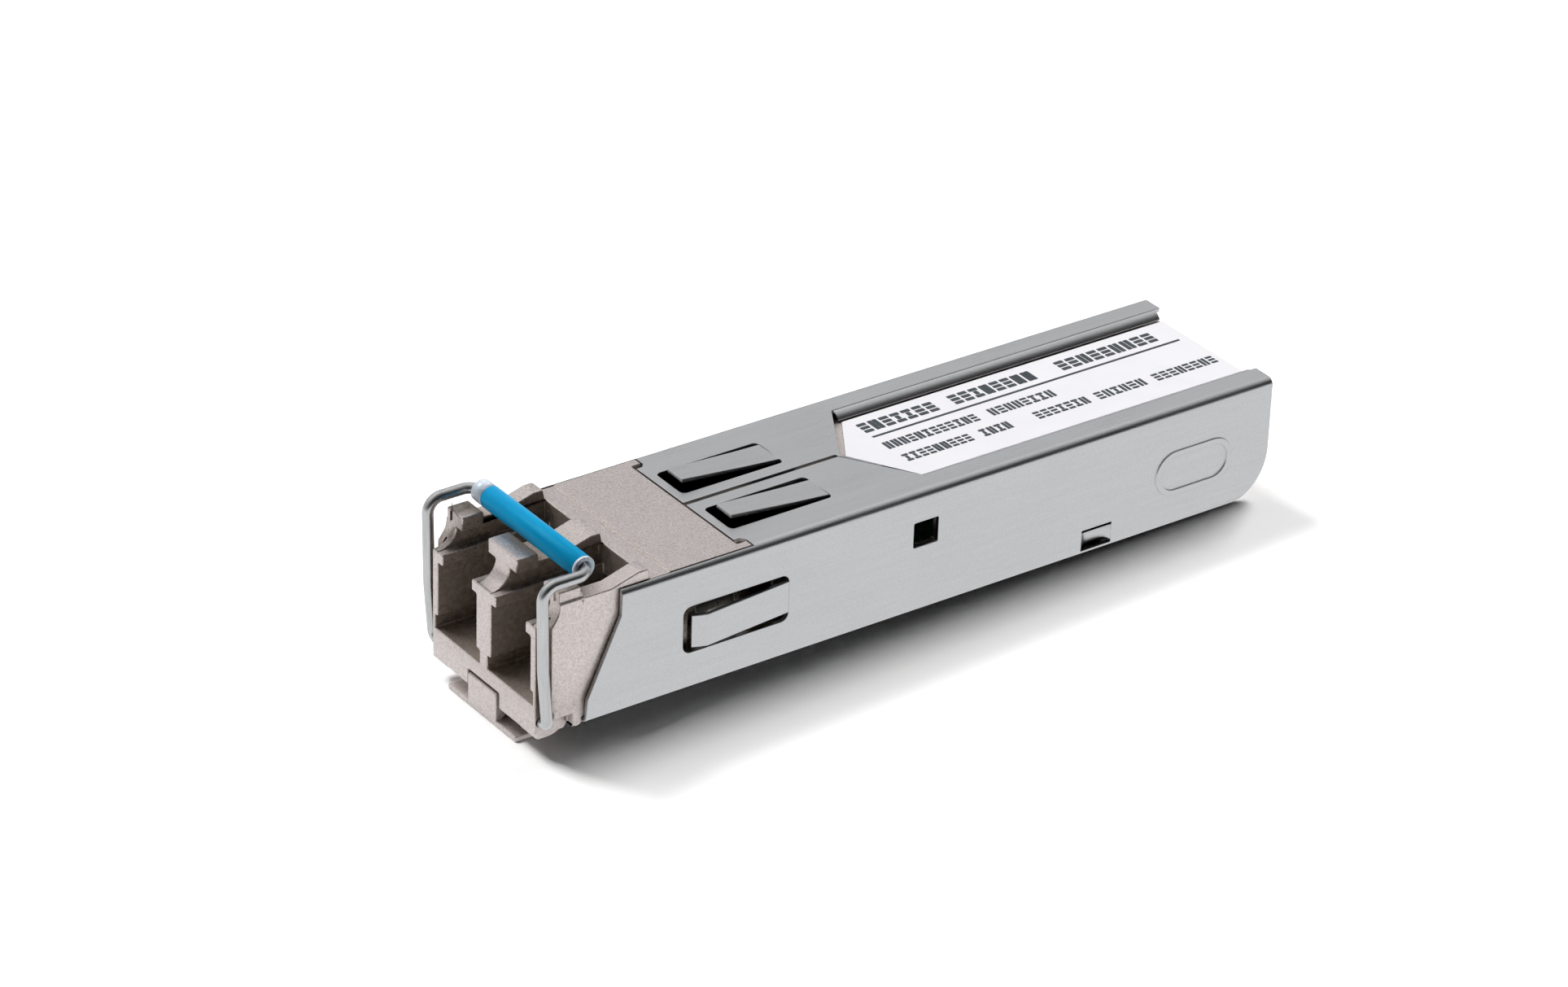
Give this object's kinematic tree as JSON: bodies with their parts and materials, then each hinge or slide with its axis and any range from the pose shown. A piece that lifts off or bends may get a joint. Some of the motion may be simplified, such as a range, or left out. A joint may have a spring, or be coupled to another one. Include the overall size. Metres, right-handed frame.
{
  "type": "optical transceiver module",
  "caption": "Pluggable duplex optical transceiver module: die-cast nose with two fibre ports, steel sheet cover with spring fingers, hinged wire bail and rocking latch.",
  "frame": {"origin": "centre of the foot of the object's box, with the module lying label side up", "axes": "+X from the port end to the board end, +Y across the width, +Z towards the label side"},
  "size_m": [0.056, 0.0146, 0.0127],
  "materials": {
    "zinc": "nickel-plated zinc die casting, satin with a fine grain",
    "steel_sheet": "stamped steel sheet, satin, faint rolling lines",
    "spring_steel": "bright drawn spring wire and leaf",
    "stainless": "turned stainless steel",
    "blue_tube": "blue soft plastic tube",
    "clear_tube": "translucent bluish plastic",
    "paper": "white printed film label",
    "board_green": "green solder mask on glass fibre",
    "gold_can": "gold-plated can",
    "ceramic": "white zirconia",
    "chip_black": "black moulded chip package",
    "cap_tan": "tan ceramic capacitor",
    "resistor_black": "black chip resistor",
    "flex_amber": "amber polyimide flexible strip",
    "pad_grey": "grey thermal pad",
    "clip_black": "black moulded clip"
  },
  "bodies": {
    "housing": {"nose_casting": "zinc", "lower_tray": "zinc", "sheet_cover": "steel_sheet", "label": "paper", "latch_pin": "stainless", "latch_spring": "spring_steel", "transmitter_receptacle": "stainless", "receiver_receptacle": "stainless", "transmitter_ferrule_sleeve": "ceramic", "receiver_ferrule_sleeve": "ceramic", "transmitter_can": "gold_can", "receiver_can": "stainless", "transmitter_flex": "flex_amber", "receiver_flex": "flex_amber", "optics_clip": "clip_black", "circuit_board": "board_green", "laser_driver_chip": "chip_black", "receiver_amplifier_chip": "chip_black", "controller_chip": "chip_black", "thermal_pad": "pad_grey", "capacitor_1": "cap_tan", "capacitor_2": "cap_tan", "capacitor_3": "cap_tan", "capacitor_4": "cap_tan", "capacitor_5": "cap_tan", "capacitor_6": "cap_tan", "resistor_1": "resistor_black", "resistor_2": "resistor_black", "resistor_3": "resistor_black", "resistor_4": "resistor_black"},
    "bail": {"bail_wire": "spring_steel", "bail_sleeve": "blue_tube", "sleeve_liner": "clear_tube"},
    "latch": {"latch_lever": "zinc"}
  },
  "joints": [
    {"name": "bail_hinge", "type": "hinge", "parent": "housing", "child": "bail", "pos_m": [-0.02721, 0, 0.00228], "axis": [0, -1, 0], "range_deg": [0, 90]},
    {"name": "latch_rock", "type": "hinge", "parent": "housing", "child": "latch", "pos_m": [-0.02209, 0, 0.0025], "axis": [0, -1, 0], "range_deg": [0, 5.4], "deforming": ["latch_spring"]}
  ],
  "couplings": [
    {"joint": "latch_rock", "follows": "bail_hinge", "ratio": 0.06}
  ]
}
